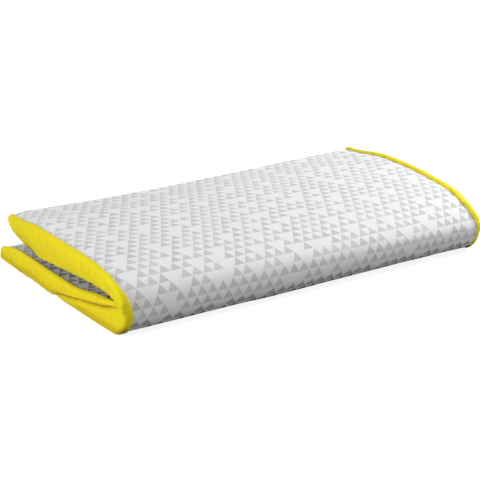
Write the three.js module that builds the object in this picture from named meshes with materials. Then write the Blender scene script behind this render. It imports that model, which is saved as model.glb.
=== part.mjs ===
// A padded ironing board cover, folded in quarters across its length and laid on its nose quarter.
// Millimetres, +Z up. X runs along the front fold, Y away from it.
// From the floor up: nose quarter (print down), tail quarter (print up), under quarter (print down)
// and top quarter (print up). The front fold joins nose to top on the outside and tail to under
// on the inside. The far fold joins top to under.
import * as THREE from 'three';

// Plan sizes. Lengths along Y are measured from the line where the front fold begins to curve.
const coverWidth = 450;
const hemWidth = 5.5;
const frontReach = 27;
const upperLength = 215;
const noseStart = 85;
const noseFullness = 1.9;
const tailLength = 240;
const tailCornerRadius = 24;
const noseTipGap = 2;

// The top quarter rises from the front fold to a crown, sooner and fuller on the left,
// stays level there on the left and comes down to the far fold.
const leftCrownHeight = 68;
const rightCrownHeight = 67;
const leftCrownLength = 63;
const rightCrownLength = 148;
const leftCrownFlat = 82;
const leftFullness = 3;
const rightFullness = 2;
const centreSag = 3;

// Heights of the folds above the floor.
const hingeHeight = 29;
const leftInnerHeight = 35.1;
const rightInnerHeight = 24.6;
const farFoldHeight = 52;

// Thicknesses and small radii.
const lowerLayer = 10;
const middleLoft = 14.6;
const farFoldThickness = 7;
const creaseHalf = 0.4;
const innerFoldRadius = 4;
const innerFoldSqueeze = 0.2;
const clothThickness = 0.8;
const hemWall = 0.9;
const hemRoundness = 0.6;
const elasticDiameter = 1.8;
const clearance = 0.3;
const floorClearance = 0.4;
const hemGap = 0.8;

// Where the far fold pinches the upper pair and where the tail comes down from the inner fold. How tall
// the tail's hem is at that fold and the nose's hem where it goes in behind it, and how soon after that
// the tail's hem reaches the floor.
const pinchLength = 48;
const tailSlope = 85;
const tailHemHeight = 6;
const noseHemHeight = 6;
const tailHemDrop = 28;
const tuckMargin = 7;
const tuckLength = 20;

// Facets.
const upperSlices = 9;
const panelSteps = 8;
const bendSteps = 5;
const innerBendSteps = 4;
const farFoldSteps = 6;
const outlineSteps = 22;
const noseSideSteps = 4;
const cornerSteps = 6;
const tailSteps = 4;
const hemSides = 9;
const elasticSides = 6;

const seamHalfWidth = coverWidth / 2 - hemWidth;
const panelHalfWidth = seamHalfWidth - clearance;
const tailSeam = tailLength - hemWidth;
const noseSeam = tailSeam - noseTipGap - hemWidth;
const tailSeamRadius = tailCornerRadius - hemWidth;
const paddingDepth = clothThickness + clearance;
const noseHemClear = seamHalfWidth - hemWidth - clearance;
const tuckStart = noseReach(noseHemClear / seamHalfWidth, noseSeam) + tuckMargin;

const printedCotton = { color: 0xdcdedf, roughness: 0.85, metalness: 0 };
const foam = { color: 0xf1ead6, roughness: 0.95, metalness: 0 };
const yellowBinding = { color: 0xe6d51e, roughness: 0.8, metalness: 0 };
const elastic = { color: 0xf4f2ea, roughness: 0.8, metalness: 0 };

// Small helpers for blending sizes along the folds.
const lerp = THREE.MathUtils.lerp;
const smooth = THREE.MathUtils.smoothstep;

function between(left, right, x) {
  return lerp(left, right, 0.5 + x / coverWidth);
}

function spread(from, to, steps) {
  return Array.from({ length: steps + 1 }, (_, i) => lerp(from, to, i / steps));
}

// Heights of the folded layers at a place across the cover.
function sag(x) {
  const fromCentre = (2 * x) / coverWidth;
  return centreSag * (1 - fromCentre * fromCentre);
}

function innerHeight(x) {
  return between(leftInnerHeight, rightInnerHeight, x);
}

// The front of the top quarter is an arc of a superellipse from the hinge line (turn 0) to the crown.
function frontArc(x) {
  const crownLength = between(leftCrownLength, rightCrownLength, x);
  return {
    crownLength,
    reach: crownLength + frontReach,
    rise: between(leftCrownHeight, rightCrownHeight, x) - sag(x) - hingeHeight,
    power: between(leftFullness, rightFullness, x),
  };
}

function topHeight(x, y) {
  const { crownLength, reach, rise, power } = frontArc(x);
  const crown = hingeHeight + rise;
  if (y > crownLength) {
    const farTop = farFoldHeight - sag(x) + creaseHalf + farFoldThickness;
    const dropStart = crownLength + between(leftCrownFlat, 0, x);
    return lerp(crown, farTop, smooth(y, dropStart, upperLength));
  }
  const back = (crownLength - y) / reach;
  return hingeHeight + rise * (1 - back ** power) ** (1 / power);
}

function upperNearThickness(x) {
  const bottom = innerHeight(x) + clearance / 2 + innerFoldRadius;
  return (topHeight(x, 0) - bottom) / 2 - creaseHalf;
}

function upperThickness(x, y) {
  const loft = lerp(upperNearThickness(x), middleLoft, Math.sin((Math.PI * y) / upperLength));
  return lerp(loft, farFoldThickness, smooth(y, upperLength - pinchLength, upperLength));
}

function upperMidHeight(x, y) {
  return topHeight(x, y) - upperThickness(x, y) - creaseHalf;
}

function tailTop(x, y) {
  const near = innerHeight(x) - clearance / 2 - innerFoldRadius;
  const flat = 2 * lowerLayer + clearance;
  return lerp(near, flat, smooth(y, 0, tailSlope));
}

// A station holds a point of a layer's printed face and the point of its underside behind it.
function station(printY, printZ, underY, underZ) {
  return { print: new THREE.Vector2(printY, printZ), under: new THREE.Vector2(underY, underZ) };
}

// The lower half of the front fold, a quarter of an ellipse from the floor (turn 0) to the hinge line.
function lowerBend(turn, thickness) {
  const rise = hingeHeight - clearance / 2;
  const print = new THREE.Vector2(-frontReach * Math.sin(turn), rise - rise * Math.cos(turn));
  const inward = new THREE.Vector2(Math.sin(turn) * rise, Math.cos(turn) * frontReach).normalize();
  return { print, under: print.clone().addScaledVector(inward, thickness) };
}

// The upper half of the front fold, from the hinge line (share 0) to the top quarter (share 1).
function upperBend(x, share) {
  const { crownLength, reach, rise, power } = frontArc(x);
  const turn = share * Math.acos((crownLength / reach) ** (power / 2));
  const y = crownLength - reach * Math.cos(turn) ** (2 / power);
  const z = hingeHeight + rise * Math.sin(turn) ** (2 / power);
  const print = new THREE.Vector2(y, Math.max(z, hingeHeight + clearance / 2));
  const lean = (share * Math.PI) / 2;
  const inward = new THREE.Vector2(Math.cos(lean), -Math.sin(lean));
  const thickness = lerp(hingeThickness(x), upperNearThickness(x), share);
  return { print, under: print.clone().addScaledVector(inward, thickness) };
}

function hingeThickness(x) {
  return (lowerLayer + upperNearThickness(x)) / 2;
}

// A half of the inner bend: turn is 0 at the flat layer and PI / 2 at the middle of the bend.
function innerBend(x, turn, side, flatThickness) {
  const middle = innerHeight(x) + (side * clearance) / 2;
  const thickness = flatThickness * (1 - innerFoldSqueeze * Math.sin(turn));
  const outward = new THREE.Vector2(-Math.sin(turn), side * Math.cos(turn));
  const centre = new THREE.Vector2(0, middle);
  return {
    print: centre.clone().addScaledVector(outward, innerFoldRadius),
    under: centre.clone().addScaledVector(outward, innerFoldRadius + thickness),
  };
}

// The strips of the cover, each as a run of stations in the plane at x.
function noseStrip(x, farEnd) {
  const bend = spread(1, 0, bendSteps).map((share) => {
    const thickness = lerp(lowerLayer, hingeThickness(x), share);
    return lowerBend((share * Math.PI) / 2, thickness);
  });
  const flat = spread(0, farEnd, panelSteps).slice(1);
  return [...bend, ...flat.map((y) => station(y, 0, y, lowerLayer))];
}

function tailStrip(x, farEnd) {
  const bend = spread(Math.PI / 2, 0, innerBendSteps).map((turn) => innerBend(x, turn, -1, lowerLayer));
  const flat = spread(0, farEnd, panelSteps).slice(1);
  return [...bend, ...flat.map((y) => station(y, tailTop(x, y), y, tailTop(x, y) - lowerLayer))];
}

function upperStrip(x) {
  const bend = spread(0, 1, bendSteps).map((share) => upperBend(x, share));
  const lengths = spread(0, upperLength, panelSteps);
  const top = lengths.slice(1).map((y) => upperStation(x, y, Math.PI / 2));
  const turns = spread(Math.PI / 2, -Math.PI / 2, farFoldSteps).slice(1, -1);
  const farFold = turns.map((turn) => upperStation(x, upperLength, turn));
  const under = lengths.slice(1).reverse().map((y) => upperStation(x, y, -Math.PI / 2));
  const inner = spread(0, Math.PI / 2, innerBendSteps);
  const innerHalf = inner.map((turn) => innerBend(x, turn, 1, upperNearThickness(x)));
  return [...bend, ...top, ...farFold, ...under, ...innerHalf];
}

// Turn is PI / 2 on the top quarter, -PI / 2 on the under quarter, and passes 0 round the far fold.
function upperStation(x, y, turn) {
  const outward = new THREE.Vector2(Math.cos(turn), Math.sin(turn));
  const crease = new THREE.Vector2(y, upperMidHeight(x, y));
  return {
    print: crease.clone().addScaledVector(outward, creaseHalf + upperThickness(x, y)),
    under: crease.clone().addScaledVector(outward, creaseHalf),
  };
}

// How far the rounded nose reaches at a share of its half width, for a tip at the given length.
function noseReach(half, tip) {
  const share = Math.max(0, 1 - half * half) ** (1 / noseFullness);
  return noseStart + (tip - noseStart) * share;
}

// Far edges of the two lower panels inside their hems.
function noseEnd(x) {
  return noseReach(x / panelHalfWidth, noseSeam - clearance);
}

function tailEnd(x) {
  const past = Math.max(0, Math.abs(x) - (seamHalfWidth - tailSeamRadius));
  const radius = tailSeamRadius - clearance;
  return tailSeam - tailSeamRadius + Math.sqrt(Math.max(0, radius * radius - past * past));
}

// A closed solid through rings of points. Edges list the pairs of points whose line runs on from
// ring to ring, and cap lists the triangles that close the first and the last ring.
function sweep(rings, edges, cap) {
  const count = rings[0].length;
  const faces = [];
  for (let start = 0; start < (rings.length - 1) * count; start += count) {
    for (const { from, to, crossed } of edges) {
      const a = start + from;
      const b = start + to;
      const quad = crossed ? [[a, b, a + count], [b, b + count, a + count]]
        : [[a, b, b + count], [a, b + count, a + count]];
      faces.push(...quad);
    }
  }
  const last = (rings.length - 1) * count;
  cap.forEach(([a, b, c]) => faces.push([a, c, b], [last + a, last + b, last + c]));
  const positions = rings.flat().flatMap((point) => point.toArray());
  const geometry = new THREE.BufferGeometry();
  geometry.setAttribute('position', new THREE.Float32BufferAttribute(positions, 3));
  geometry.setIndex(outward(faces, rings.flat()).flat());
  geometry.computeVertexNormals();
  return geometry;
}

function outward(faces, points) {
  const cross = new THREE.Vector3();
  const volume = faces.reduce(
    (sum, [a, b, c]) => sum + points[a].dot(cross.crossVectors(points[b], points[c])),
    0,
  );
  return volume < 0 ? faces.map(([a, b, c]) => [a, c, b]) : faces;
}

function counting(from, count) {
  return Array.from({ length: count }, (_, i) => from + i);
}

function loopEdges(loop, crossedFrom = Infinity) {
  return loop.map((from, i) => ({ from, to: loop[(i + 1) % loop.length], crossed: i >= crossedFrom }));
}

// A panel: the part of a strip between two depths under its printed face, lofted across the cover.
// Its two faces are split along the same diagonals, so that panels on each other stay parallel.
function panel(slices, stripAt, fromDepth, toDepth) {
  const rings = slices.map((x) => {
    const strip = stripAt(x);
    const upper = strip.map((s) => depthPoint(s, fromDepth));
    const lower = strip.map((s) => depthPoint(s, toDepth)).reverse();
    return [...upper, ...lower].map((p) => new THREE.Vector3(x, p.x, p.y));
  });
  const count = rings[0].length;
  const cap = [];
  for (let i = 0; i + 1 < count / 2; i += 1) {
    cap.push([i, i + 1, count - 2 - i], [i, count - 2 - i, count - 1 - i]);
  }
  return sweep(rings, loopEdges(counting(0, count), count / 2), cap);
}

function depthPoint({ print, under }, depth) {
  const full = print.distanceTo(under);
  return print.clone().lerp(under, Math.min(1, depth / full));
}

// Slices of the lower panels lie where the points of their hems' seam lines are.
function noseSlices() {
  return spread(0, Math.PI, outlineSteps).map((angle) => -panelHalfWidth * Math.cos(angle));
}

function tailSlices() {
  const cornerX = seamHalfWidth - tailSeamRadius;
  const radius = tailSeamRadius - clearance;
  const left = spread(0, Math.PI / 2, cornerSteps).map((angle) => -cornerX - radius * Math.cos(angle));
  const right = left.map((x) => -x).reverse();
  return [...left, ...spread(-cornerX, cornerX, tailSteps).slice(1, -1), ...right];
}

// A hem is a flattened casing. A seam place holds the two edges of the seam and the way out from it.
function seamPlace(x, section, out) {
  const print = new THREE.Vector3(x, section.print.x, section.print.y);
  const under = new THREE.Vector3(x, section.under.x, section.under.y);
  return { print, under, out };
}

// Half-round outer face, square inner face. Depth runs from the seam outwards, rise from under to print.
function casingSection(depth, rise, angle) {
  const turn = Math.PI / 2 - angle;
  const side = Math.abs(Math.cos(turn)) ** hemRoundness;
  return { out: depth * side, up: rise * (0.5 + 0.5 * Math.sin(turn)) };
}

function casingRing({ print, under, out }) {
  const rise = print.distanceTo(under);
  const up = print.clone().sub(under).divideScalar(rise);
  const angles = spread(0, Math.PI, hemSides - 1);
  const place = (depth, height, inset) => angles.map((angle) => {
    const at = casingSection(depth, height, angle);
    return under.clone().addScaledVector(out, at.out + inset).addScaledVector(up, at.up + inset);
  });
  const outer = place(hemWidth, rise, 0);
  const inner = place(hemWidth - 2 * hemWall, rise - 2 * hemWall, hemWall);
  return [...outer, ...inner];
}

function casing(places) {
  const outer = counting(0, hemSides);
  const inner = counting(hemSides, hemSides).reverse();
  const cap = [];
  outer.forEach((a) => {
    const b = (a + 1) % hemSides;
    cap.push([a, b, b + hemSides], [a, b + hemSides, a + hemSides]);
  });
  return sweep(places.map(casingRing), [...loopEdges(outer), ...loopEdges(inner)], cap);
}

// The elastic lies against the outer wall of its casing, halfway up.
function elasticCord(places) {
  const radius = elasticDiameter / 2;
  const depth = hemWidth - hemWall - clearance - radius;
  const rings = places.map(({ print, under, out }) => {
    const up = print.clone().sub(under).normalize();
    const centre = print.clone().add(under).multiplyScalar(0.5).addScaledVector(out, depth);
    return counting(0, elasticSides).map((i) => {
      const angle = (2 * Math.PI * i) / elasticSides;
      const around = out.clone().multiplyScalar(Math.cos(angle) * radius);
      return centre.clone().add(around).addScaledVector(up, Math.sin(angle) * radius);
    });
  });
  const cap = counting(1, elasticSides - 2).map((i) => [0, i, i + 1]);
  return sweep(rings, loopEdges(counting(0, elasticSides)), cap);
}

// Seam lines of the lower hems in plan, from the left front to the right front.
function noseSeamLine() {
  const straight = spread(0, noseStart, noseSideSteps).slice(1, -1);
  const round = spread(0, Math.PI, outlineSteps).map((angle) => {
    const half = -Math.cos(angle);
    return new THREE.Vector2(seamHalfWidth * half, noseReach(half, noseSeam));
  });
  const left = straight.map((y) => new THREE.Vector2(-seamHalfWidth, y));
  const right = straight.map((y) => new THREE.Vector2(seamHalfWidth, y)).reverse();
  return [...left, ...round, ...right];
}

function tailSeamLine() {
  const cornerX = seamHalfWidth - tailSeamRadius;
  const cornerY = tailSeam - tailSeamRadius;
  const drop = spread(tuckStart, tuckStart + tailHemDrop, 2);
  const side = [...spread(0, tuckStart, panelSteps).slice(1, -1), ...drop];
  const left = side.map((y) => new THREE.Vector2(-seamHalfWidth, y));
  const leftTurn = spread(0, Math.PI / 2, cornerSteps).map((angle) => {
    const x = -cornerX - tailSeamRadius * Math.cos(angle);
    return new THREE.Vector2(x, cornerY + tailSeamRadius * Math.sin(angle));
  });
  const half = [...left, ...leftTurn];
  const otherHalf = half.map((p) => new THREE.Vector2(-p.x, p.y)).reverse();
  return [...half, new THREE.Vector2(0, tailSeam), ...otherHalf];
}

// Outward normals of a seam line that runs clockwise, seen from above, round its panel.
function seamNormal(line, i) {
  const before = line[Math.max(0, i - 1)];
  const after = line[Math.min(line.length - 1, i + 1)];
  const along = after.clone().sub(before).normalize();
  return new THREE.Vector3(-along.y, along.x, 0);
}

function sideOut(x) {
  return new THREE.Vector3(Math.sign(x), 0, 0);
}

// At the sides the tail's hem hangs lower and lower in front of the nose's hem, down to the floor.
function tailHemBottom(x, y) {
  const share = Math.min(1, y / tuckStart);
  const carried = lerp(tailTop(x, 0) - tailHemHeight, noseHemHeight, share);
  return lerp(carried, floorClearance, smooth(y, tuckStart, tuckStart + tailHemDrop));
}

// The nose hem stands up to the tail's hem at the sides and to the tail's layer where it is tucked in.
function noseHemTop(x, y) {
  const tucked = tailTop(x, y) - lowerLayer;
  const shown = Math.min(tailHemBottom(x, y), tucked);
  return lerp(shown, tucked, smooth(y, tuckStart, tuckStart + tuckLength)) - hemGap;
}

function noseHemPlaces() {
  const bendAt = (x) => spread(1, 0, bendSteps).map((share) => {
    const thickness = lerp(noseHemTop(x, 0), hingeThickness(x), smooth(share, 0, 1));
    return seamPlace(x, lowerBend((share * Math.PI) / 2, thickness), sideOut(x));
  });
  const line = noseSeamLine();
  const flat = line.map((p, i) => {
    const height = noseHemTop(p.x, p.y);
    return seamPlace(p.x, station(p.y, 0, p.y, height), seamNormal(line, i));
  });
  return [...bendAt(-seamHalfWidth), ...flat, ...bendAt(seamHalfWidth).reverse()];
}

function tailHemPlaces() {
  const bendAt = (x) => spread(Math.PI / 2, 0, innerBendSteps).map(
    (turn) => seamPlace(x, innerBend(x, turn, -1, tailHemHeight), sideOut(x)),
  );
  const line = tailSeamLine();
  const flat = line.map((p, i) => {
    const section = station(p.y, tailTop(p.x, p.y), p.y, tailHemBottom(p.x, p.y));
    return seamPlace(p.x, section, seamNormal(line, i));
  });
  return [...bendAt(-seamHalfWidth), ...flat, ...bendAt(seamHalfWidth).reverse()];
}

function upperHemPlaces(x) {
  return upperStrip(x).map((section) => seamPlace(x, section, sideOut(x)));
}

// The assembly.
const cover = new THREE.Group();

function addPiece(name, geometry, finish) {
  const piece = new THREE.Mesh(geometry, new THREE.MeshStandardMaterial(finish));
  piece.name = name;
  cover.add(piece);
}

function addPanels(name, slices, stripAt) {
  addPiece(`${name}_cover`, panel(slices, stripAt, 0, clothThickness), printedCotton);
  addPiece(`${name}_padding`, panel(slices, stripAt, paddingDepth, Infinity), foam);
}

function addHem(name, places) {
  addPiece(`${name}_hem`, casing(places), yellowBinding);
  addPiece(`${name}_hem_elastic`, elasticCord(places), elastic);
}

const upperSliceLine = spread(-panelHalfWidth, panelHalfWidth, upperSlices - 1);
addPanels('nose', noseSlices(), (x) => noseStrip(x, noseEnd(x)));
addPanels('tail', tailSlices(), (x) => tailStrip(x, tailEnd(x)));
addPanels('upper', upperSliceLine, upperStrip);
addHem('nose', noseHemPlaces());
addHem('tail', tailHemPlaces());
addHem('upper_left', upperHemPlaces(-seamHalfWidth));
addHem('upper_right', upperHemPlaces(seamHalfWidth));

// The origin is on the floor, under the middle of the folded cover.
cover.position.y = (frontReach - tailLength) / 2;

export default cover;
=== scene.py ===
# A padded ironing board cover with a triangle print and an elasticated yellow hem,
# folded in quarters across its length and laid on its nose quarter. Metres, +Z up.
import math
import bmesh
import bpy
import numpy as np
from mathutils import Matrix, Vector, noise


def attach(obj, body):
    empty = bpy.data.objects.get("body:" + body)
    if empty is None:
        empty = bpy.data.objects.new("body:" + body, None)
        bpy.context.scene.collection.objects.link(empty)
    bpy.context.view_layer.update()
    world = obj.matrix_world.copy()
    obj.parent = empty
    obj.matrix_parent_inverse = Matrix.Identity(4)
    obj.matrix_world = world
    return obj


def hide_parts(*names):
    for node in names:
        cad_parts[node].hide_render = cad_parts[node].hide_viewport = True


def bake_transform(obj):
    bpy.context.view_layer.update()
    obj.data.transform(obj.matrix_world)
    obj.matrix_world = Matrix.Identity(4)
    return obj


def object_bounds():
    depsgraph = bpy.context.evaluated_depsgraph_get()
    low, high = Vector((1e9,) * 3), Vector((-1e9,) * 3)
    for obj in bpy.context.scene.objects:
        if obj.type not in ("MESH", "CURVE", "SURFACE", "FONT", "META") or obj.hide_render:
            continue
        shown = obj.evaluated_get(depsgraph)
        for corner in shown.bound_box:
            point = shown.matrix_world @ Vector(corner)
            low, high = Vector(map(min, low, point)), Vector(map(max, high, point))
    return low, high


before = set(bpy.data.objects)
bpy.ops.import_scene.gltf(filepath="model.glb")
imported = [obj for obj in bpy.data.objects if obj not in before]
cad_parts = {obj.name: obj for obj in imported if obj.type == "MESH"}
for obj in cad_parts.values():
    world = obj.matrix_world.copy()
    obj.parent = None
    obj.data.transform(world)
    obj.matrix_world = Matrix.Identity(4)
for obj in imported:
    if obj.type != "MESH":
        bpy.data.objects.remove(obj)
cad_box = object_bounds()

# The padding is one sheet of soft foam, cut a hem's width inside the cover's outline and laid under
# the cotton all the way. Folded in quarters it makes an outer strip (nose quarter, front fold, top
# quarter) and an inner strip (under quarter, inner fold, tail quarter) that meet at the far fold.
cover_width = 0.450
hem_width = 0.0025
clearance = 0.0003
front_reach = 0.027
upper_length = 0.215
tail_length = 0.250
tail_corner_radius = 0.009
nose_start = 0.105
nose_fullness = 1.9
nose_tip_gap = 0.002
crown_height = (0.068, 0.067)
crown_length = (0.063, 0.142)
crown_flat = (0.082, 0.0)
crown_fullness = (3.0, 2.0)
inner_fold_height = (0.0370, 0.0246)
centre_sag = 0.003
hinge_height = 0.029
far_fold_height = 0.052
far_fold_thickness = 0.007
pinch_length = 0.048
tail_slope = 0.085
tail_lift = (0.0015, 0.0)
tail_droop = 0.0095
droop_start = 0.195
droop_side = (0.05, 0.20)
edge_roll = 0.0025
edge_roll_width = 0.006
lower_layer = 0.010
least_tail_inside = 0.006
middle_loft = 0.0146
crease_half = 0.0004
inner_fold_radius = 0.004
inner_tip_radius = 0.0012
inner_reach = 0.018
pinched_inner = 0.002
pinched_outer = 0.0045
nose_rows, bend_rows, quarter_rows, tail_rows = 34, 13, 44, 36
far_fold_rows, inner_fold_rows, inner_tip_rows = 8, 14, 6
cotton_thickness = 0.0008
seam_half = cover_width / 2 - hem_width
panel_half = seam_half - clearance
tail_seam = tail_length - hem_width
nose_seam = tail_seam - nose_tip_gap - hem_width
tail_seam_radius = tail_corner_radius - hem_width
bend_line = cad_box[0].y + front_reach


def mix(a, b, share):
    return a + (b - a) * share


def ease(value, start, end):
    share = np.clip((value - start) / (end - start), 0, 1)
    return share * share * (3 - 2 * share)


def across(sides, x):
    return mix(sides[0], sides[1], 0.5 + x / cover_width)


def sag(x):
    return centre_sag * (1 - (2 * x / cover_width) ** 2)


def front_arc(x):
    length = across(crown_length, x)
    rise = across(crown_height, x) - sag(x) - hinge_height
    return length, length + front_reach, rise, across(crown_fullness, x)


def top_height(x, y):
    length, reach, rise, power = front_arc(x)
    back = np.clip((length - y) / reach, 0, 1)
    arch = hinge_height + rise * (1 - back ** power) ** (1 / power)
    far_top = far_fold_height - sag(x) + crease_half + far_fold_thickness
    drop_start = length + across(crown_flat, x)
    return mix(arch, far_top, ease(y, drop_start, upper_length))


def near_loft(x):
    bottom = across(inner_fold_height, x) + clearance / 2 + inner_fold_radius
    return (top_height(x, 0.0) - bottom) / 2 - crease_half


def upper_loft(x, y):
    loft = mix(near_loft(x), middle_loft, np.sin(np.pi * y / upper_length))
    return mix(loft, far_fold_thickness, ease(y, upper_length - pinch_length, upper_length))


def crease_height(x, y):
    return top_height(x, y) - upper_loft(x, y) - crease_half


def tail_top(x, y):
    near = across(inner_fold_height, x) - clearance / 2 - inner_fold_radius
    level = 2 * lower_layer + clearance + across(tail_lift, x)
    top = mix(near, level, ease(y, 0, tail_slope))
    past = np.clip((y - droop_start) / (tail_seam - droop_start), 0, 1)
    rolled = np.clip((y - tail_seam) / edge_roll_width + 1, 0, 1)
    return top - tail_droop * past ** 2 * ease(-x, *droop_side) - edge_roll * rolled ** 2


# A run is a list of places along a strip: y and z on the printed side, then y and z on the inside.
def level_run(y, print_z, inside_z):
    return np.column_stack([y, print_z + 0 * y, y, inside_z + 0 * y])


def turned_run(print_y, print_z, inward_y, inward_z, loft):
    return np.column_stack([print_y, print_z, print_y + inward_y * loft, print_z + inward_z * loft])


def lower_bend(share, loft):
    turn = share * np.pi / 2
    y = -front_reach * np.sin(turn)
    z = hinge_height * (1 - np.cos(turn))
    inward = np.array([np.sin(turn) * hinge_height, np.cos(turn) * front_reach])
    inward = inward / np.linalg.norm(inward, axis=0)
    return turned_run(y, z, inward[0], inward[1], loft)


def upper_bend(x, share):
    length, reach, rise, power = front_arc(x)
    turn = share * math.acos((length / reach) ** (power / 2))
    y = length - reach * np.cos(turn) ** (2 / power)
    z = hinge_height + rise * np.sin(turn) ** (2 / power)
    lean = share * np.pi / 2
    loft = mix(pinched_outer, near_loft(x), share)
    return turned_run(y, z, np.cos(lean), -np.sin(lean), loft)


# Half of the inner fold, from the bend line to its tip close behind the front fold, where the foam is
# pinched thin. Side is 1 for the under quarter above it and -1 for the tail quarter below.
def inner_fold(x, side, flat_loft):
    depth = np.linspace(0, 1, inner_fold_rows)
    turn = np.linspace(0, np.pi / 2, inner_tip_rows)[1:]
    narrowing = ease(depth, 0, 1)
    half_gap = mix(inner_fold_radius, inner_tip_radius, narrowing)
    loft = mix(flat_loft, pinched_inner, narrowing)
    middle = across(inner_fold_height, x)
    closing = turned_run(-inner_reach * depth, middle + side * half_gap, 0 * depth, side, loft)
    tip_y = -inner_reach - inner_tip_radius * np.sin(turn)
    tip_z = middle + side * inner_tip_radius * np.cos(turn)
    tip = turned_run(tip_y, tip_z, -np.sin(turn), side * np.cos(turn), pinched_inner)
    return np.vstack([closing, tip])


def far_fold(x, turn):
    loft = upper_loft(x, upper_length)
    outward = np.array([np.cos(turn), np.sin(turn)])
    inside = np.array([upper_length + 0 * turn, crease_height(x, upper_length) + 0 * turn])
    inside = inside + outward * crease_half
    printed = inside + outward * loft
    return np.column_stack([printed[0], printed[1], inside[0], inside[1]])


def nose_edge(half, tip):
    return nose_start + (tip - nose_start) * max(0, 1 - half * half) ** (1 / nose_fullness)


def tail_edge(x):
    past = max(0, abs(x) - (seam_half - tail_seam_radius))
    radius = tail_seam_radius - clearance
    return tail_seam - tail_seam_radius + math.sqrt(max(0, radius * radius - past * past))


def outer_strip(x):
    edge = nose_edge(x / panel_half, nose_seam - clearance)
    share = np.linspace(0, 1, bend_rows)[1:]
    y = np.linspace(0, upper_length, quarter_rows)[1:]
    return np.vstack([
        level_run(np.linspace(edge, 0, nose_rows), 0.0, lower_layer),
        lower_bend(share, mix(lower_layer, pinched_outer, share)),
        upper_bend(x, share),
        level_run(y, top_height(x, y), top_height(x, y) - upper_loft(x, y)),
        far_fold(x, np.linspace(np.pi / 2, 0, far_fold_rows)[1:]),
    ])


def inner_strip(x):
    y = np.linspace(upper_length, 0, quarter_rows)[:-1]
    middle = crease_height(x, y) - crease_half
    tail = np.linspace(0, tail_edge(x), tail_rows)[1:]
    tail_inside = np.maximum(tail_top(x, tail) - lower_layer, least_tail_inside)
    return np.vstack([
        far_fold(x, np.linspace(0, -np.pi / 2, far_fold_rows)[:-1]),
        level_run(y, middle - upper_loft(x, y), middle),
        inner_fold(x, 1, near_loft(x)),
        inner_fold(x, -1, lower_layer)[::-1][1:],
        level_run(tail, tail_top(x, tail), tail_inside),
    ])


# At both ends the top quarter is drawn down to its seam. At the left it stands out a little over the
# quarters below, and at the right the front fold is drawn in.
end_start = 0.11
upper_spread = 0.0045
spread_heights = (0.022, 0.060)
spread_end = (0.165, 0.220)
fold_draw = 0.0080
draw_end = (-0.020, 0.030)
shoulder_width = 0.016
shoulder_drop = (0.0024, 0.0014)
shoulder_heights = (0.045, 0.060)
least_height = 0.0002


def laid(x, y, z):
    shoulder = ease(abs(x), seam_half - shoulder_width, seam_half) * ease(z, *shoulder_heights)
    drop = across(shoulder_drop, min(seam_half, max(-seam_half, x))) * shoulder
    spread = upper_spread * ease(-x, end_start, seam_half) * ease(z, *spread_heights)
    spread = spread * (1 - ease(y, *spread_end))
    draw = fold_draw * ease(x, end_start, seam_half) * (1 - ease(y, *draw_end))
    return x - spread - draw, bend_line + y, max(z - drop, least_height)


def line_lengths(points):
    steps = np.linalg.norm(np.diff(points, axis=0), axis=1)
    return np.concatenate([[0], np.cumsum(steps)])


def columns_across(count):
    return -panel_half * np.cos(np.linspace(0, np.pi, count + 1))


def flat_grid(columns, rows):
    sheet = bmesh.new()
    bmesh.ops.create_grid(sheet, x_segments=columns, y_segments=rows, size=0.5)
    return sheet


def grid_place(vert, columns, rows):
    return round((vert.co.x + 0.5) * columns), round((vert.co.y + 0.5) * rows)


def add_piece(name, sheet, material):
    mesh = bpy.data.meshes.new(name)
    sheet.to_mesh(mesh)
    sheet.free()
    mesh.polygons.foreach_set("use_smooth", [True] * len(mesh.polygons))
    mesh.materials.append(material)
    piece = bpy.data.objects.new(name, mesh)
    bpy.context.scene.collection.objects.link(piece)
    return piece


def new_material(name):
    material = bpy.data.materials.new(name)
    material.use_nodes = True
    return material, material.node_tree, material.node_tree.nodes["Principled BSDF"]


def feed(tree, socket, value):
    if isinstance(value, bpy.types.NodeSocket):
        tree.links.new(value, socket)
    else:
        socket.default_value = value


def colour_mix(tree, share, first, second, blend="MIX"):
    made = tree.nodes.new("ShaderNodeMix")
    made.data_type = "RGBA"
    made.blend_type = blend
    for index, value in ((0, share), (6, first), (7, second)):
        feed(tree, made.inputs[index], value)
    return made.outputs[2]


def bump_from(tree, shader, height, strength, depth):
    bump = tree.nodes.new("ShaderNodeBump")
    bump.inputs["Strength"].default_value = strength
    bump.inputs["Distance"].default_value = depth
    tree.links.new(height, bump.inputs["Height"])
    tree.links.new(bump.outputs["Normal"], shader.inputs["Normal"])


foam_colour = (0.90, 0.84, 0.70, 1.0)
# Painted shade colour for the hollows of the foam's pores.
painted_pore_shade = (0.78, 0.70, 0.55, 1.0)
foam_cells = 900.0


def foam_material():
    material, tree, shader = new_material("padding_foam")
    place = tree.nodes.new("ShaderNodeTexCoord").outputs["Object"]
    cells = tree.nodes.new("ShaderNodeTexVoronoi")
    cells.inputs["Scale"].default_value = foam_cells
    tree.links.new(place, cells.inputs["Vector"])
    hollow = cells.outputs["Distance"]
    # The foam's pores are painted darker in their hollows: painted shade.
    tree.links.new(colour_mix(tree, hollow, painted_pore_shade, foam_colour), shader.inputs["Base Color"])
    bump_from(tree, shader, hollow, strength=0.5, depth=0.0004)
    shader.inputs["Roughness"].default_value = 0.95
    return material


foam = foam_material()
padding_columns = 28
padding_depth = cotton_thickness + clearance
padding_inset = 0.005


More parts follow.
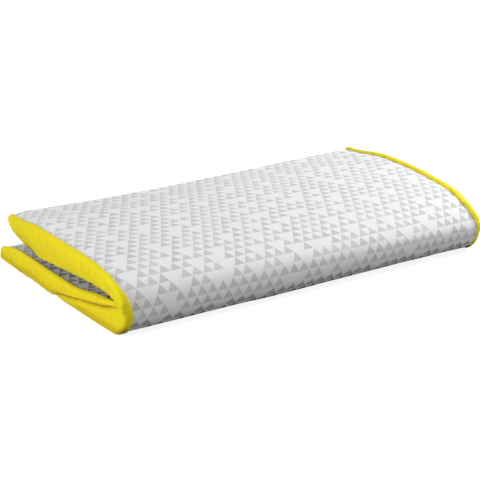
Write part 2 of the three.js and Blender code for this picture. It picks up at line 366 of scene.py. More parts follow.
def padding_piece(name, strip_at):
    places = columns_across(padding_columns)
    runs = [strip_at(x) for x in places]
    rows = len(runs[0]) - 1
    slab = flat_grid(padding_columns, rows)
    bmesh.ops.solidify(slab, geom=slab.faces[:], thickness=1.0)
    for vert in slab.verts:
        column, row = grid_place(vert, padding_columns, rows)
        x = places[column] * (1 - padding_inset / panel_half)
        printed, inside = runs[column][row, :2], runs[column][row, 2:]
        full = np.linalg.norm(inside - printed)
        share = padding_depth / full if abs(vert.co.z) < 0.5 else 1.0
        y, z = mix(printed, inside, share)
        vert.co = laid(x, y, z)
    bmesh.ops.recalc_face_normals(slab, faces=slab.faces[:])
    return add_piece(name, slab, foam)


def bend_outer(piece):
    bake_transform(piece)


def bend_inner(piece):
    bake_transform(piece)


outer_padding = padding_piece("outer_padding", outer_strip)
inner_padding = padding_piece("inner_padding", inner_strip)
bend_outer(outer_padding)
bend_inner(inner_padding)
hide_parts("nose_padding", "upper_padding")
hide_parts("tail_padding", "upper_padding")

# The cover is one sheet of plain woven cotton, printed with a close lattice of triangles and laid
# over the padding, print outwards. It is cut at the far fold's edge here into an outer and an inner
# piece.
triangle_side = 0.0120
plain_share = 0.17
print_edge = 0.03
cotton_white = (0.86, 0.87, 0.875, 1.0)
print_grey = (0.59, 0.595, 0.605, 1.0)
print_grey_pale = (0.665, 0.67, 0.68, 1.0)
# Painted shade colours for the cotton in the mouths of the folds, one for the ground and one for the ink.
painted_shade_ground = (0.82, 0.75, 0.71, 1.0)
painted_shade_ink = (0.06, 0.03, 0.03, 1.0)
crevice_reach = 0.03
crevice_samples = 32
crevice_shut = 0.06
crevice_open = (0.10, 0.70)
thread_pitch = 0.00045
thread_depth = 0.00006


def math_node(tree, operation, *values):
    made = tree.nodes.new("ShaderNodeMath")
    made.operation = operation
    for socket, value in zip(made.inputs, values):
        feed(tree, socket, value)
    return made.outputs[0]


def linked_node(tree, kind, **sources):
    made = tree.nodes.new(kind)
    for name, source in sources.items():
        tree.links.new(source, made.inputs[name])
    return made


def graded(tree, value, start, end, low=0.0, shape="LINEAR"):
    made = linked_node(tree, "ShaderNodeMapRange", Value=value)
    made.interpolation_type = shape
    made.inputs["From Min"].default_value = start
    made.inputs["From Max"].default_value = end
    made.inputs["To Min"].default_value = low
    return made.outputs[0]


# The lattice's triangles all point one way. In each block of two by two at most one is left plain, so
# that it shows as a larger white triangle with its neighbours' gaps.
def triangle_lattice(tree, flat):
    split = linked_node(tree, "ShaderNodeSeparateXYZ", Vector=flat)
    row_height = triangle_side * math.sqrt(3) / 2
    up = math_node(tree, "DIVIDE", split.outputs["Y"], row_height)
    along = math_node(tree, "DIVIDE", split.outputs["X"], triangle_side)
    skewed = math_node(tree, "SUBTRACT", along, math_node(tree, "MULTIPLY", up, 0.5))
    in_row = math_node(tree, "FRACT", up)
    in_column = math_node(tree, "FRACT", skewed)
    column = math_node(tree, "FLOOR", skewed)
    row = math_node(tree, "FLOOR", up)
    block_column = math_node(tree, "FLOOR", math_node(tree, "MULTIPLY", column, 0.5))
    block_row = math_node(tree, "FLOOR", math_node(tree, "MULTIPLY", row, 0.5))
    block = linked_node(tree, "ShaderNodeCombineXYZ", X=block_column, Y=block_row)
    draw = linked_node(tree, "ShaderNodeTexWhiteNoise", Vector=block.outputs[0])
    draw.noise_dimensions = "2D"
    chance = draw.outputs["Value"]
    odd_column = math_node(tree, "SUBTRACT", column, math_node(tree, "MULTIPLY", block_column, 2.0))
    odd_row = math_node(tree, "SUBTRACT", row, math_node(tree, "MULTIPLY", block_row, 2.0))
    place = math_node(tree, "ADD", odd_column, math_node(tree, "MULTIPLY", odd_row, 2.0))
    plain = math_node(tree, "FLOOR", math_node(tree, "MULTIPLY", chance, 1 / plain_share))
    past = math_node(tree, "SUBTRACT", math_node(tree, "SUBTRACT", 1.0, in_row), in_column)
    inside = math_node(tree, "MINIMUM", math_node(tree, "MINIMUM", in_row, in_column), past)
    filled = graded(tree, inside, 0.0, print_edge, shape="SMOOTHSTEP")
    apart = math_node(tree, "ABSOLUTE", math_node(tree, "SUBTRACT", place, plain))
    inked = math_node(tree, "MULTIPLY", filled, math_node(tree, "GREATER_THAN", apart, 0.5))
    return inked, chance


# Painted shade: cloth in the mouth of a fold is painted dimmer and browner by ambient occlusion, its ink
# most of all. Cloth shut inside the folds keeps its own colour, so that it is clean when the cover is
# opened.
def crevice_shade(tree, inked):
    hollow = tree.nodes.new("ShaderNodeAmbientOcclusion")
    hollow.samples = crevice_samples
    hollow.inputs["Distance"].default_value = crevice_reach
    air = hollow.outputs["AO"]
    closeness = math_node(tree, "SUBTRACT", 1.0, graded(tree, air, *crevice_open))
    reached = math_node(tree, "MINIMUM", math_node(tree, "DIVIDE", air, crevice_shut), 1.0)
    deep = colour_mix(tree, inked, painted_shade_ground, painted_shade_ink)
    return colour_mix(tree, math_node(tree, "MULTIPLY", closeness, reached), (1, 1, 1, 1), deep)


def weave_bump(tree, shader, flat, pitch, depth):
    split = linked_node(tree, "ShaderNodeSeparateXYZ", Vector=flat)
    turn = 2 * math.pi / pitch
    warp = math_node(tree, "SINE", math_node(tree, "MULTIPLY", split.outputs["X"], turn))
    weft = math_node(tree, "SINE", math_node(tree, "MULTIPLY", split.outputs["Y"], turn))
    bump_from(tree, shader, math_node(tree, "MULTIPLY", warp, weft), strength=0.6, depth=depth)


def cotton_material():
    material, tree, shader = new_material("printed_cotton")
    flat = tree.nodes.new("ShaderNodeUVMap")
    flat.uv_map = "flat_cloth"
    inked, chance = triangle_lattice(tree, flat.outputs["UV"])
    tone = colour_mix(tree, chance, print_grey, print_grey_pale)
    colour = colour_mix(tree, inked, cotton_white, tone)
    # The print's colour is multiplied by the painted crevice shade.
    shaded = colour_mix(tree, 1.0, colour, crevice_shade(tree, inked), blend="MULTIPLY")
    tree.links.new(shaded, shader.inputs["Base Color"])
    weave_bump(tree, shader, flat.outputs["UV"], thread_pitch, thread_depth)
    shader.inputs["Roughness"].default_value = 0.85
    shader.inputs["Specular IOR Level"].default_value = 0.25
    shader.inputs["Sheen Weight"].default_value = 0.15
    shader.inputs["Sheen Roughness"].default_value = 0.5
    return material


cotton = cotton_material()
cotton_columns = 72
outer_slack, inner_slack = 1.0, 0.45
swell_depth, swell_scale = 0.0011, 9
crumple_depth, crumple_scale = 0.0004, 30
seam_gather, seam_gather_pitch, seam_gather_fade = 0.0007, 0.017, 0.014
seam_drift, seam_drift_scale = 0.8, 14
calm_seam = (0.004, 0.016)


def settled(x, along, slack):
    swell = swell_depth * noise.noise(Vector((x * swell_scale, along * swell_scale, 2.0)))
    crumple = crumple_depth * noise.noise(Vector((x * crumple_scale, along * crumple_scale, 7.0)))
    to_seam = seam_half - abs(x)
    drift = seam_drift * noise.noise(Vector((along * seam_drift_scale, x, 4.0)))
    gather = math.sin(2 * math.pi * (along / seam_gather_pitch + drift))
    gathered = seam_gather * gather * math.exp(-to_seam / seam_gather_fade)
    return slack * (swell + crumple + gathered) * ease(to_seam, *calm_seam)


def cotton_piece(name, strip_at, start_length, slack):
    places = columns_across(cotton_columns)
    runs = [strip_at(x) for x in places]
    lengths = [line_lengths(run[:, :2]) + start_length(x) for x, run in zip(places, runs)]
    rows = len(runs[0]) - 1
    sheet = flat_grid(cotton_columns, rows)
    flat_cloth = sheet.loops.layers.uv.new("flat_cloth")
    for face in sheet.faces:
        for loop in face.loops:
            column, row = grid_place(loop.vert, cotton_columns, rows)
            loop[flat_cloth].uv = (places[column], lengths[column][row])
    for vert in sheet.verts:
        column, row = grid_place(vert, cotton_columns, rows)
        x, along = places[column], lengths[column][row]
        printed, inside = runs[column][row, :2], runs[column][row, 2:]
        outward = (printed - inside) / np.linalg.norm(printed - inside)
        y, z = printed + outward * settled(x, along, slack)
        vert.co = laid(x, y, z)
    return add_piece(name, sheet, cotton)


def outer_start(x):
    run = outer_strip(x)
    return -line_lengths(run[:, :2])[int(np.argmin(run[:, 0]))]


def inner_start(x):
    return line_lengths(outer_strip(x)[:, :2])[-1] + outer_start(x)


def subdivide(piece, levels):
    smooth = piece.modifiers.new("smooth", "SUBSURF")
    smooth.levels = levels
    smooth.render_levels = levels


def thicken(piece, thickness):
    wall = piece.modifiers.new("cloth", "SOLIDIFY")
    wall.thickness = thickness
    wall.offset = -1


outer_cotton = cotton_piece("outer_cotton", outer_strip, outer_start, outer_slack)
inner_cotton = cotton_piece("inner_cotton", inner_strip, inner_start, inner_slack)
for piece in (outer_cotton, inner_cotton):
    subdivide(piece, 1)
    thicken(piece, cotton_thickness)
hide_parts("nose_cover", "upper_cover")
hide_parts("tail_cover", "upper_cover")
bend_outer(outer_cotton)
bend_inner(inner_cotton)

# The hem is a yellow cotton binding sewn along the cover's edge and turned down over the layers' ends,
# its lower edge a casing for the elastic, which draws it into small gathers. On the top quarter it hangs
# as a deep band. Here it is cut at the front fold into runs, each riding on its own half of the cover.
hem_wall = 0.0006
hem_face = (0.0022, 0.0046)
hem_lap = (0.0006, 0.0042)
lap_height = (0.0008, 0.0022)
far_lap = (0.0032, 0.0010)
far_lap_at = (0.160, 0.205)
flat_lap = 0.0005
nose_lap_end = 0.03
strip_face = 0.0030
strip_widening = (0.2, 1)
strip_height = 0.0028
fold_heights = (0.012, 0.024, 0.029, 0.036, 0.045, 0.052, 0.058)
fold_lap = (
    (0.0080, 0.0085, 0.0078, 0.0064, 0.0044, 0.0026, 0.0008),
    (0.0025, 0.0025, 0.0025, 0.0025, 0.0026, 0.0028, 0.0030),
)
strip_top, strip_point = 0.042, 0.030
strip_bare = 1.2
roll_height = 0.0035
casing_width = 0.0018
casing_reach = 0.010
tail_face_at = (0.0, 0.100, 0.125, 0.172, 0.240)
tail_face = (0.0042, 0.0033, 0.0032, 0.0026, 0.0016)
tail_face_start = (-0.02, 0.02)
tucked_face = 0.0013
tucked_edge = (0.005, 0.004)
tucked_turn = 0.7
wedge_face_at = (0.0, 0.040, 0.100, 0.140)
wedge_face = (0.0009, 0.0014, 0.0027, 0.0016)
wedge_tilt = 0.0046
wedge_start = (0.88, 1)
most_lean = 0.9
wedge_overlap = 0.003
wedge_groove = 0.0065
notch_reach = 0.0032
notch_rise = (0.0055, 0.0)
notch_curve = 0.6
tail_hem_height = 0.0045
nose_hem_height = 0.008
nose_hem_gap = 0.0008
tuck_start = 0.098
tuck_length = 0.020
tail_hem_drop = 0.023
floor_gap = 0.0012
band_edge_at = (0.0, 0.030, 0.055, 0.075, 0.100, 0.120, 0.150, 0.197)
band_edge = (0.0428, 0.0420, 0.0404, 0.0389, 0.0362, 0.0346, 0.0314, 0.0262)
band_end = 0.197
band_tip = (0.003, 0.001)
band_turn = 0.5
lowered_band = 0.12
band_bulge = 0.0012
bulge_rise = (0.012, 0.025)
face_lean = 0.42
facet_tilt = 0.010
facet_at = (0.150, 0.205)
band_rows, band_end_rows, strip_rows, wedge_rows, nose_hem_rows = 70, 9, 25, 14, 121
tucked_end_rows, tail_side_rows, tail_corner_rows, tail_end_rows = 13, 60, 24, 90
hem_yellow = (0.93, 0.79, 0.012, 1.0)
hem_yellow_deep = (0.89, 0.73, 0.010, 1.0)
# Painted shade colour for the binding's creases and overhung stretches.
painted_crease_shade = (0.34, 0.13, 0.002, 1.0)
uncreased_lap = (0.0020, 0.0042)
crease_reach = 0.016
crease_open = (0.36, 0.91)
crease_floor = (0.001, 0.008)
crease_at_floor = 0.2
hem_thread_pitch = 0.0005
hem_thread_depth = 0.00008


def on_side(sides, x):
    return sides[0] if x < 0 else sides[1]


def tail_hem_bottom(x, y):
    carried = mix(tail_top(x, 0.0) - tail_hem_height, nose_hem_height, np.minimum(1, y / tuck_start))
    return mix(carried, floor_gap, ease(y, tuck_start, tuck_start + tail_hem_drop))


def nose_hem_top(x, y):
    tucked = tail_top(x, y) - lower_layer - nose_hem_gap
    shown = tail_hem_bottom(x, y) + wedge_overlap
    return mix(shown, tucked, ease(y, tuck_start - tuck_length, tuck_start + tuck_length))


def wedge_lean(x, y):
    return np.clip((tail_hem_bottom(x, y) - wedge_groove) / nose_hem_top(x, y), 0, most_lean)


def band_bottom(x, y):
    lower_right = inner_fold_height[0] - across(inner_fold_height, x)
    return np.interp(y, band_edge_at, band_edge) - lower_right * (1 - ease(y, 0, lowered_band))


# A hem place: a point on the seam's printed side, the hem's lower edge and the way out, then the hem's
# shape there: how far its face stands out, how far it laps on to the print and how high, the share of that
# lap which lies flat, how far the face's lower part leans in, and the share of the face above that part.
def hem_places(x, run, face, lap, height, bare=0.0, tilt=0.0, lean=face_lean):
    ones = np.ones(len(run))
    printed = np.column_stack([x * ones, run[:, 0], run[:, 1]])
    under = np.column_stack([x * ones, run[:, 2], run[:, 3]])
    out = np.outer(ones, [math.copysign(1.0, x), 0, 0])
    shape = [face * ones, lap * ones, height * ones, bare * ones, tilt * ones, lean * ones]
    return np.column_stack([printed, under, out] + shape)


def outer_hem_side(x):
    face, lap, height = on_side(hem_face, x), on_side(hem_lap, x), on_side(lap_height, x)
    turn = np.linspace(band_turn, np.pi / 2, band_end_rows)
    far = far_fold(x, turn)
    tip = np.array([upper_length + band_tip[0], crease_height(x, upper_length) + band_tip[1]])
    corner = np.array([band_end, band_bottom(x, band_end)])
    far[:, 2:] = mix(tip, corner, ((turn - turn[0]) / (turn[-1] - turn[0]))[:, None])
    y = np.linspace(upper_length, 0, band_rows)[1:]
    hung = y * band_end / upper_length
    top = level_run(y, top_height(x, y), band_bottom(x, hung))
    top[:, 2] = hung
    top_lap = mix(lap, on_side(far_lap, x), ease(y, *far_lap_at))
    share = np.linspace(1, 0, strip_rows)[1:]
    notch = np.array([notch_reach - front_reach, hinge_height + on_side(notch_rise, x)])
    upper = upper_bend(x, share)
    upper[:, 2] = mix(notch[0], 0.0, share)
    upper[:, 3] = mix(notch[1], band_bottom(x, 0.0), share ** notch_curve)
    lower = lower_bend(share, lower_layer)
    lower[:, 2:] = mix(np.array([0.0, nose_hem_top(x, 0.0)]), notch, share[:, None])
    bare = strip_bare * np.clip((strip_top - upper[:, 1]) / (strip_top - strip_point), 0, 1)
    level = np.linspace(0, nose_start, wedge_rows)[1:]
    nose = level_run(level, 0.0, nose_hem_top(x, level))
    fold_side_lap = on_side(fold_lap, x)
    nose_lap = mix(fold_side_lap[0], lap, ease(level, 0, nose_lap_end))
    above = np.vstack([
        hem_places(x, far, face, top_lap[0], height, tilt=facet_tilt),
        hem_places(x, top, face, top_lap, height, tilt=facet_tilt * ease(y, *facet_at)),
        hem_places(x, upper, mix(strip_face, face, ease(share, *strip_widening)),
                   np.interp(upper[:, 1], fold_heights, fold_side_lap), strip_height, bare),
    ])
    below = np.vstack([
        above[-1:],
        hem_places(x, lower, mix(wedge_face[0], strip_face, ease(share, *wedge_start)),
                   np.interp(lower[:, 1], fold_heights, fold_side_lap), flat_lap,
                   tilt=wedge_tilt * (1 - share), lean=wedge_lean(x, 0.0)),
        hem_places(x, nose, np.interp(level, wedge_face_at, wedge_face), nose_lap, flat_lap,
                   tilt=wedge_tilt, lean=wedge_lean(x, level)),
    ])
    return above, below


def outline_places(line, print_z, under_z, face, tilt, lean):
    ahead = np.roll(line, -1, axis=0) - np.roll(line, 1, axis=0)
    ahead = ahead[1:-1] / np.linalg.norm(ahead[1:-1], axis=1)[:, None]
    inner = line[1:-1]
    ones = np.ones(len(inner))
    out = np.column_stack([-ahead[:, 1], ahead[:, 0], 0 * ones])
    printed = np.column_stack([inner, print_z])
    under = np.column_stack([inner, under_z])
    shape = [face * ones, hem_lap[0] * ones, flat_lap * ones, 0 * ones, tilt * ones, lean * ones]
    return np.column_stack([printed, under, out] + shape)


def nose_outline():
    half = -np.cos(np.linspace(0, np.pi, nose_hem_rows))
    return np.array([[seam_half * h, nose_edge(h, nose_seam)] for h in half])


def nose_places():
    line = nose_outline()
    inner = line[1:-1]
    top = np.array([nose_hem_top(x, y) for x, y in inner])
    face = np.interp(inner[:, 1], wedge_face_at, wedge_face)
    lean = np.array([wedge_lean(x, y) for x, y in inner])
    tucked = tuck_start + tuck_length
    tilt = wedge_tilt * (1 - ease(inner[:, 1], tucked, tucked + tuck_length))
    return outline_places(line, 0 * top, top, face, tilt, lean)


def inner_hem_side(x):
    y = np.linspace(upper_length, 0, band_rows)[1:]
    middle = crease_height(x, y) - crease_half
    tail = np.linspace(0, tail_seam - tail_seam_radius, tail_side_rows)[1:]
    full_face = np.interp(tail, tail_face_at, tail_face)
    tail_side_face = mix(tucked_face, full_face, ease(tail, *tail_face_start))
    upper = inner_fold(x, 1, near_loft(x))
    lower = inner_fold(x, -1, tail_hem_height)
    fold_edge = np.array([-inner_reach - tucked_edge[0], across(inner_fold_height, x) - tucked_edge[1]])
    for half in (upper, lower):
        half[:, 2:] = mix(half[0, 2:], fold_edge, np.minimum(1, -half[:, 0] / inner_reach)[:, None])
    far = far_fold(x, np.linspace(tucked_turn, -np.pi / 2, tucked_end_rows))
    lap = hem_lap[0]
    above = np.vstack([
        hem_places(x, far, tucked_face, lap, flat_lap),
        hem_places(x, level_run(y, middle - upper_loft(x, y), middle), tucked_face, lap, flat_lap),
        hem_places(x, upper[1:], tucked_face, lap, flat_lap),
    ])
    below = np.vstack([
        above[-1:],
        hem_places(x, lower[::-1][1:], tucked_face, lap, flat_lap),
        hem_places(x, level_run(tail, tail_top(x, tail), tail_hem_bottom(x, tail)), tail_side_face,
                   lap, flat_lap),
    ])
    return above, below


def tail_outline():
    corner_x = seam_half - tail_seam_radius
    corner_y = tail_seam - tail_seam_radius
    angle = np.linspace(0, np.pi / 2, tail_corner_rows)
    left = np.column_stack([
        -corner_x - tail_seam_radius * np.cos(angle),
        corner_y + tail_seam_radius * np.sin(angle),
    ])
    straight = np.linspace(-corner_x, corner_x, tail_end_rows)[1:-1]
    far = np.column_stack([straight, 0 * straight + tail_seam])
    return np.vstack([left, far, left[::-1] * [-1, 1]])


def tail_places():
    line = tail_outline()
    top = np.array([tail_top(x, y) for x, y in line[1:-1]])
    bottom = np.array([tail_hem_bottom(x, y) for x, y in line[1:-1]])
    return outline_places(line, top, bottom, tail_face[-1], 0.0, 0.0)


lap_shares = np.array([1.0, 0.97, 0.85, 0.7, 0.55, 0.42])
lap_edge = 0.0002
bare_blend = 0.2
inset_share, most_inset = 0.35, 0.004
most_roll = 0.4
casing_gap = 0.0002
casing_bend, most_casing_bend = 0.0013, 0.3
most_casing_reach = 0.5
edge_points, face_points, casing_points = 7, 13, 6


# The hem's section: a lap on the print, a round edge, a flat face and the elastic's casing below.
def hem_section(rise, face, lap, height, bare, tilt, lean):
    roll = min(roll_height, most_roll * rise)
    inset = min(inset_share * lap, most_inset)
    raised = flat_lap + (height - flat_lap) * ease(lap_shares, bare - bare_blend, bare)
    edge_height = raised[-1]
    raised[0] = lap_edge
    quarter = np.linspace(0, np.pi / 2, edge_points)
    face_end = min(casing_bend, most_casing_bend * rise)
    down_face = np.linspace(rise - roll, face_end, face_points)[1:]
    turned = np.linspace(0, np.pi, casing_points)[1:]
    casing = min(casing_width, face + casing_gap)
    out = np.concatenate([
        -lap * lap_shares, (face + inset) * np.sin(quarter) - inset, face + 0 * down_face,
        face - casing * (0.5 - 0.5 * np.cos(turned)), [face - casing],
    ])
    up = np.concatenate([
        rise + raised, rise + edge_height - (roll + edge_height) * (1 - np.cos(quarter)), down_face,
        down_face[-1] * (1 - np.sin(turned)), [min(casing_reach, most_casing_reach * rise)],
    ])
    leaning = np.clip((1 - up / rise - lean) / (1 - lean), 0, 1)
    bulge = band_bulge * np.sin(np.pi * np.clip(up / rise, 0, 1)) * ease(rise, *bulge_rise)
    return out + bulge - tilt * leaning, up


def place_parts(place):
    printed, under, way = place[:3], place[3:6], place[6:9]
    rise = np.linalg.norm(printed - under)
    return under, way, rise, (printed - under) / rise, place[9:]


pucker_depth, pucker_pitch = 0.0004, 0.015
pucker_drift, pucker_drift_scale = 0.9, 16
ripple_depth, ripple_scale = 0.0005, 30
corner_pucker = 3


def hem_rings(places):
    lengths = line_lengths(places[:, :3])
    rings = []
    for place, along in zip(places, lengths):
        under, way, rise, up_way, shape = place_parts(place)
        out, up = hem_section(rise, *shape)
        drift = pucker_drift * noise.noise(Vector((along * pucker_drift_scale, 1.0, 3.0)))
        ripple = ripple_depth * noise.noise(Vector((along * ripple_scale, 5.0, 1.0)))
        pucker = pucker_depth * math.sin(2 * math.pi * (along / pucker_pitch + drift)) + ripple
        corner = abs(way[0] * way[1]) * 2
        low = ease(rise - up, 0, rise)
        out = out + low * pucker * (1 + corner_pucker * corner)
        rings.append(under + np.outer(out, way) + np.outer(up, up_way))
    return rings, lengths


gather_frames = 20
gather_growth = 0.04
gather_scale = 10.0
gather_limits = (-0.00025, 0.0006)
held_columns = (8, 13)
casing_columns = (21, 26)
casing_room = 0.35
gathered_face = (tucked_face, tucked_face + 0.0006)
calm_rows = 8


# The elastic's gathers are a cloth simulation: the hem, held along its seam, is a little longer than the
# line that holds it and buckles. Only its movement out of the hem's face is kept, within limits.
def gather(piece, held, ways, room):
    scene = bpy.context.scene
    start = np.array([vert.co for vert in piece.data.vertices])
    trial_mesh = piece.data.copy()
    trial_mesh.vertices.foreach_set("co", (start * gather_scale).ravel())
    trial = bpy.data.objects.new("gather_trial", trial_mesh)
    scene.collection.objects.link(trial)
    seam = trial.vertex_groups.new(name="seam")
    for index, weight in enumerate(held):
        seam.add([index], float(weight), "REPLACE")
    cloth = trial.modifiers.new("gather", "CLOTH")
    cloth.settings.quality = 5
    cloth.settings.mass = 0.1
    cloth.settings.bending_stiffness = 0.05
    cloth.settings.vertex_group_mass = "seam"
    cloth.settings.shrink_min = -gather_growth
    cloth.settings.effector_weights.gravity = 0.0
    cloth.collision_settings.use_collision = False
    cloth.point_cache.frame_end = gather_frames
    for step in range(1, gather_frames + 1):
        scene.frame_set(step)
    solved = trial.evaluated_get(bpy.context.evaluated_depsgraph_get()).data
    ended = np.array([vert.co for vert in solved.vertices]) / gather_scale
    out = np.einsum("ij,ij->i", ended - start, ways)
    kept = np.clip(out, *gather_limits) * room
    piece.data.vertices.foreach_set("co", (start + ways * kept[:, None]).ravel())
    bpy.data.objects.remove(trial)
    bpy.data.meshes.remove(trial_mesh)
    scene.frame_set(1)


def hem_piece(name, places, flip):
    rings, lengths = hem_rings(places)
    columns = len(rings[0]) - 1
    rows = len(places) - 1
    band = flat_grid(columns, rows)
    flat_hem = band.loops.layers.uv.new("flat_hem")
    girths = [line_lengths(ring) for ring in rings]
    for face in band.faces:
        for loop in face.loops:
            column, row = grid_place(loop.vert, columns, rows)
            loop[flat_hem].uv = (girths[row][column], lengths[row])
    held, ways, room = [], [], []
    for vert in band.verts:
        column, row = grid_place(vert, columns, rows)
        vert.co = laid(*rings[row][column])
        vert.co.z = max(vert.co.z, hem_wall + clearance)
        _, way, _, _, shape = place_parts(places[row])
        held.append(1 - ease(column, *held_columns))
        ways.append(way)
        loose = ease(shape[0], *gathered_face) * mix(1, casing_room, ease(column, *casing_columns))
        room.append(loose * ease(min(row, rows - row), 0, calm_rows))
    if flip:
        bmesh.ops.reverse_faces(band, faces=band.faces[:])
    piece = add_piece(name, band, binding)
    gather(piece, held, np.array(ways), np.array(room))
    subdivide(piece, 1)
    thicken(piece, hem_wall)
    even = piece.modifiers.new("even", "WEIGHTED_NORMAL")
    even.weight = 90
    return piece


def hem_material():
    material, tree, shader = new_material("yellow_binding")
    flat = tree.nodes.new("ShaderNodeUVMap")
    flat.uv_map = "flat_hem"
    place = tree.nodes.new("ShaderNodeTexCoord").outputs["Object"]
    cloud = linked_node(tree, "ShaderNodeTexNoise", Vector=place)
    cloud.inputs["Scale"].default_value = 60.0
    tone = colour_mix(tree, cloud.outputs["Fac"], hem_yellow_deep, hem_yellow)
    # Painted shade: where ambient occlusion finds the binding in a crease or under an overhang, its yellow
    # is painted deep brown, less so near the floor and at the lap's edge.
    hollow = tree.nodes.new("ShaderNodeAmbientOcclusion")
    hollow.inputs["Distance"].default_value = crease_reach
    closed = math_node(tree, "SUBTRACT", 1.0, graded(tree, hollow.outputs["AO"], *crease_open))
    height = linked_node(tree, "ShaderNodeSeparateXYZ", Vector=place).outputs["Z"]
    off_floor = graded(tree, height, *crease_floor, low=crease_at_floor)
    from_edge = linked_node(tree, "ShaderNodeSeparateXYZ", Vector=flat.outputs["UV"]).outputs["X"]
    on_face = math_node(tree, "MULTIPLY", off_floor, graded(tree, from_edge, *uncreased_lap))
    painted_crease_share = math_node(tree, "MULTIPLY", closed, on_face)
    tree.links.new(colour_mix(tree, painted_crease_share, tone, painted_crease_shade), shader.inputs["Base Color"])
    weave_bump(tree, shader, flat.outputs["UV"], hem_thread_pitch, hem_thread_depth)
    shader.inputs["Roughness"].default_value = 0.7
    shader.inputs["Specular IOR Level"].default_value = 0.15
    shader.inputs["Sheen Weight"].default_value = 0.05
    shader.inputs["Sheen Roughness"].default_value = 0.4
    return material


binding = hem_material()
top_left, nose_left = outer_hem_side(-seam_half)
top_right, nose_right = outer_hem_side(seam_half)
under_left, tail_left = inner_hem_side(-seam_half)
under_right, tail_right = inner_hem_side(seam_half)
hem_runs = [
    ("nose_hem", "nose_hem", "lower_half", np.vstack([nose_left, nose_places(), nose_right[::-1]]), True),
    ("top_left_hem", "upper_left_hem", "upper_half", top_left, True),
    ("top_right_hem", "upper_right_hem", "upper_half", top_right[::-1], True),
    ("tail_hem", "tail_hem", "lower_half", np.vstack([tail_left, tail_places(), tail_right[::-1]]), False),
    ("under_left_hem", "upper_left_hem", "upper_half", under_left, False),
    ("under_right_hem", "upper_right_hem", "upper_half", under_right[::-1], False),
]
for run_name, cad_node, body, places, on_outer in hem_runs:
    hem = hem_piece(run_name + "_cloth", places, on_outer)
    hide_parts(cad_node)
    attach(hem, body)

# The elastic is a thin white braid that runs in the casing at the hem's lower edge all the way round and
# draws it in. Only the casing holds it, and like the hem it is cut at the front fold here.
elastic_radius = 0.0008
elastic_sides = 8
elastic_share = 0.3
elastic_braid = 260.0
elastic_white = (0.88, 0.87, 0.83, 1.0)
elastic_grey = (0.74, 0.73, 0.69, 1.0)


def twisted_material(name, twists, shade, light, roughness):
    material, tree, shader = new_material(name)
    place = tree.nodes.new("ShaderNodeTexCoord").outputs["Object"]
    twist = linked_node(tree, "ShaderNodeTexWave", Vector=place)
    twist.bands_direction = "DIAGONAL"
    twist.inputs["Scale"].default_value = twists
    tone = colour_mix(tree, twist.outputs["Fac"], shade, light)
    tree.links.new(tone, shader.inputs["Base Color"])
    shader.inputs["Roughness"].default_value = roughness
    return material


def tube_piece(name, rings, material):
    sides = len(rings[0])
    rows = len(rings) - 1
    tube = flat_grid(sides, rows)
    for vert in tube.verts:
        column, row = grid_place(vert, sides, rows)
        vert.co = laid(*rings[row][column % sides])
    bmesh.ops.remove_doubles(tube, verts=tube.verts[:], dist=1e-6)
    bmesh.ops.holes_fill(tube, edges=[edge for edge in tube.edges if edge.is_boundary], sides=sides)
    bmesh.ops.recalc_face_normals(tube, faces=tube.faces[:])
    return add_piece(name, tube, material)


def tube_ring(centre, way, up_way, radius, sides):
    angle = np.linspace(0, 2 * np.pi, sides, endpoint=False)
    return centre + radius * (np.outer(np.cos(angle), way) + np.outer(np.sin(angle), up_way))


def elastic_rings(places):
    rings = []
    for place in places:
        under, way, _, up_way, shape = place_parts(place)
        face, tilt = shape[0], shape[4]
        casing = min(casing_width, face + casing_gap)
        radius = min(elastic_radius, elastic_share * casing)
        centre = under + (face - casing / 2 - tilt) * way + (radius + hem_wall) * up_way
        rings.append(tube_ring(centre, way, up_way, radius, elastic_sides))
    return rings


elastic = twisted_material("braided_elastic", elastic_braid, elastic_grey, elastic_white, roughness=0.8)
for run_name, cad_node, body, places, _ in hem_runs:
    cord = tube_piece(run_name + "_cord", elastic_rings(places), elastic)
    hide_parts(cad_node + "_elastic")
    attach(cord, body)

# One row of lockstitch in twisted yellow thread is sewn by machine along the hem's lap and holds it down
# on the print. Each stitch shows as a short raised dash between two needle holes.
stitch_length = 0.0030
stitch_radius = 0.00022
stitch_dip = 0.0009
stitch_inset = 0.0015
stitch_end = 0.010
stitch_steps = 5
thread_sides = 5
thread_twist = 700.0
thread_yellow = (0.95, 0.83, 0.05, 1.0)
thread_deep = (0.86, 0.70, 0.03, 1.0)


def stitch_rings(places):
    lengths = line_lengths(places[:, :3])
    along = np.arange(stitch_end, lengths[-1] - stitch_end, stitch_length / stitch_steps)
    fine = np.column_stack([np.interp(along, lengths, column) for column in places.T])
    rings = []
    for step, place in enumerate(fine):
        under, way, rise, up_way, shape = place_parts(place)
        way = way / np.linalg.norm(way)
        lap = shape[1]
        height = hem_section(rise, *shape)[1][1] - (stitch_dip if step % stitch_steps == 0 else 0)
        centre = under + height * up_way - max(0.5 * lap, lap - stitch_inset) * way
        rings.append(tube_ring(centre, way, up_way, stitch_radius, thread_sides))
    return rings


thread = twisted_material("sewing_thread", thread_twist, thread_deep, thread_yellow, roughness=0.5)
for run_name, _, body, places, _ in hem_runs:
    stitches = tube_piece(run_name + "_stitches", stitch_rings(places), thread)
    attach(stitches, body)

# A plain white floor under soft studio light, brightest from the upper right of the front fold, with
# a weaker fill on the hems at the left end. The floor looks white to the camera and keeps a faint
# shadow, and gives back less light than it shows, as a studio table does behind a cut-out picture.
floor_shown = (0.26, 0.26, 0.26, 1.0)
floor_bounced = (0.36, 0.36, 0.36, 1.0)
floor_glow = 0.87
floor_half = 8.0
sky_light = 0.45


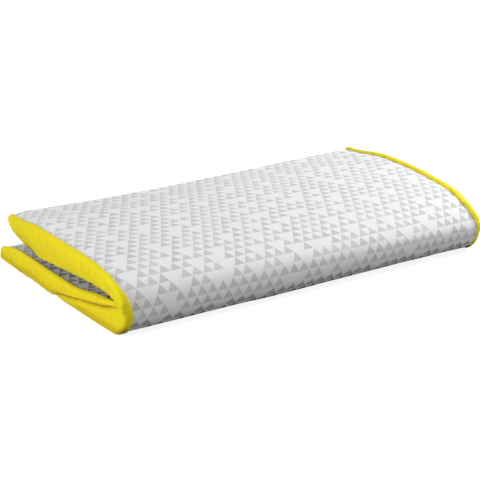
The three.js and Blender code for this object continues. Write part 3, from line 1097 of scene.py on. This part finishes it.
def floor_material():
    material, tree, shader = new_material("studio_floor")
    tree.nodes.remove(shader)
    path = tree.nodes.new("ShaderNodeLightPath")
    shown = tree.nodes.new("ShaderNodeBsdfDiffuse")
    shown.inputs["Color"].default_value = floor_shown
    glow = tree.nodes.new("ShaderNodeEmission")
    glow.inputs["Strength"].default_value = floor_glow
    white = tree.nodes.new("ShaderNodeAddShader")
    tree.links.new(shown.outputs[0], white.inputs[0])
    tree.links.new(glow.outputs[0], white.inputs[1])
    bounced = tree.nodes.new("ShaderNodeBsdfDiffuse")
    bounced.inputs["Color"].default_value = floor_bounced
    choice = tree.nodes.new("ShaderNodeMixShader")
    tree.links.new(path.outputs["Is Camera Ray"], choice.inputs[0])
    tree.links.new(bounced.outputs[0], choice.inputs[1])
    tree.links.new(white.outputs[0], choice.inputs[2])
    tree.links.new(choice.outputs[0], tree.nodes["Material Output"].inputs["Surface"])
    return material


floor_sheet = bmesh.new()
bmesh.ops.create_grid(floor_sheet, x_segments=1, y_segments=1, size=floor_half)
floor_mesh = bpy.data.meshes.new("studio_floor")
floor_sheet.to_mesh(floor_mesh)
floor_sheet.free()
floor_mesh.materials.append(floor_material())
floor = bpy.data.objects.new("studio_floor", floor_mesh)
bpy.context.scene.collection.objects.link(floor)

world = bpy.data.worlds.new("studio")
world.use_nodes = True
sky = world.node_tree
sky_path = sky.nodes.new("ShaderNodeLightPath")
sky_level = sky.nodes.new("ShaderNodeMix")
sky_level.inputs[2].default_value = sky_light
sky_level.inputs[3].default_value = 1.0
sky.links.new(sky_path.outputs["Is Camera Ray"], sky_level.inputs[0])
sky.links.new(sky_level.outputs[0], sky.nodes["Background"].inputs["Strength"])
sky.nodes["Background"].inputs["Color"].default_value = (1, 1, 1, 1)
bpy.context.scene.world = world


def soft_light(name, place, aim, size, power):
    lamp = bpy.data.lights.new(name, "AREA")
    lamp.shape = "DISK"
    lamp.size = size
    lamp.energy = power
    light = bpy.data.objects.new(name, lamp)
    light.location = place
    light.rotation_euler = (Vector(aim) - Vector(place)).to_track_quat("-Z", "Y").to_euler()
    bpy.context.scene.collection.objects.link(light)


soft_light("key_light", place=(1.05, -0.2, 0.74), aim=(0.05, 0, 0.05), size=0.7, power=13)
soft_light("left_fill", place=(-1.6, -0.35, 0.48), aim=(-0.2, 0, 0.03), size=0.6, power=13.5)

# The camera stands left of the front fold and looks down along it through a long lens, so that the
# left end, the front fold and the top quarter all show.
camera = bpy.data.cameras.new("camera")
camera.lens = 112.5
camera.sensor_width = 36.0
viewer = bpy.data.objects.new("camera", camera)
viewer.location = (-0.8405, -1.2725, 0.5593)
viewer.rotation_euler = (math.radians(70.46), math.radians(0.25), math.radians(-33.31))
bpy.context.scene.collection.objects.link(viewer)
bpy.context.scene.camera = viewer
bpy.context.scene.view_settings.view_transform = "Standard"
